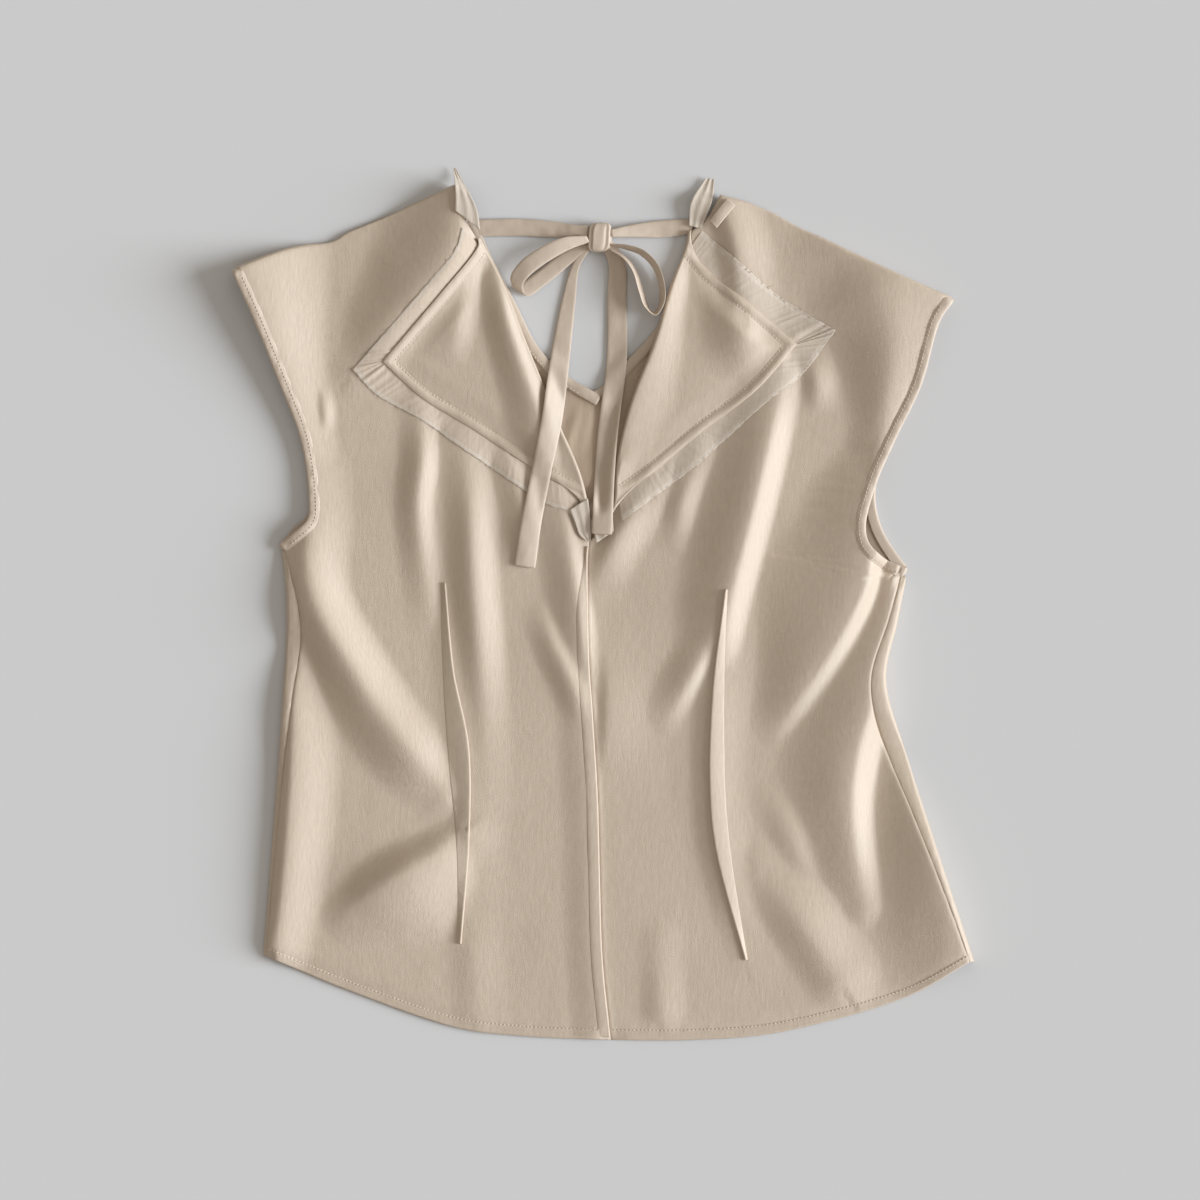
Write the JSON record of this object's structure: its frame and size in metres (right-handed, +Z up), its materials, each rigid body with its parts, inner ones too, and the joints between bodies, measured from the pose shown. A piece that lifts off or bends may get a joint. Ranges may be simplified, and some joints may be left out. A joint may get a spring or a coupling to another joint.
{
  "type": "sleeveless blouse",
  "caption": "sleeveless champagne satin blouse laid flat, wide lapels with a raw-edged trim, narrow tie in a bow at the open neck",
  "frame": {"origin": "centre of the bounding box in plan, on the surface that the blouse lies on", "axes": "+X to the right as the front is seen from above, +Y towards the neck, +Z up from the surface"},
  "size_m": [0.5479, 0.6442, 0.0157],
  "materials": {
    "satin": "soft satin sheen",
    "bound_satin": "soft satin sheen, folded bias strip",
    "raw_trim": "matte, raw woven edge"
  },
  "bodies": {
    "root": {"back": "satin", "front_left": "satin", "front_right": "satin", "middle_tuck": "satin", "dart_left": "satin", "dart_right": "satin", "lapel_left": "satin", "lapel_right": "satin", "lapel_trim_left": "raw_trim", "lapel_trim_right": "raw_trim", "trim_end_left": "raw_trim", "trim_end_right": "raw_trim", "neck_strip_right": "bound_satin", "armhole_binding_left": "bound_satin", "armhole_binding_right": "bound_satin", "neck_binding_left": "bound_satin", "neck_binding_right": "bound_satin", "tie_band_left": "bound_satin", "tie_band_right": "bound_satin", "bow_knot": "bound_satin", "bow_loop_left": "bound_satin", "bow_loop_right": "bound_satin", "tie_tail_left": "bound_satin", "tie_tail_right": "bound_satin"}
  },
  "joints": []
}
